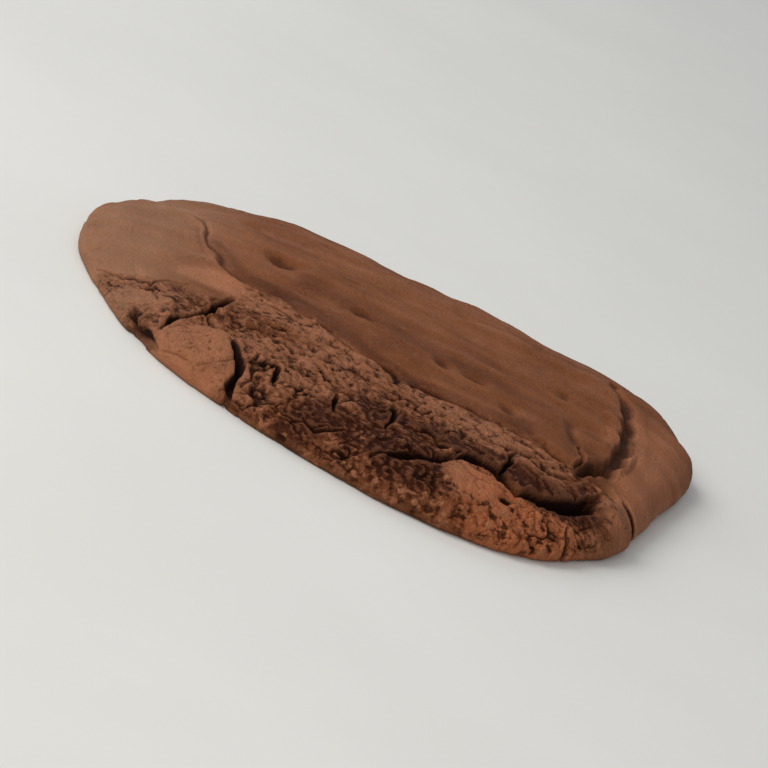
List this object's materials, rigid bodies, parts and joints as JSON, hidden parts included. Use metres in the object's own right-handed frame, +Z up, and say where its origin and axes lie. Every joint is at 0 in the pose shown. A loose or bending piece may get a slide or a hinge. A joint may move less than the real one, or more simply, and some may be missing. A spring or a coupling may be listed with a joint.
{
  "type": "chocolate cookie",
  "caption": "Round, flat chocolate cookie with a smooth wavy top, a curved groove near one side, and a cracked, crumbly front edge.",
  "frame": {"origin": "middle of the footprint's bounding box, on the flat underside", "axes": "+Z up through the thickness; the crumbly, cracked edge is on the -Y side and the curved groove on the +X side"},
  "size_m": [0.0996, 0.1002, 0.0093],
  "materials": {
    "crust": "matt cocoa brown baked crust, darker in the cracks"
  },
  "bodies": {
    "root": {"cookie": "crust"}
  },
  "joints": []
}
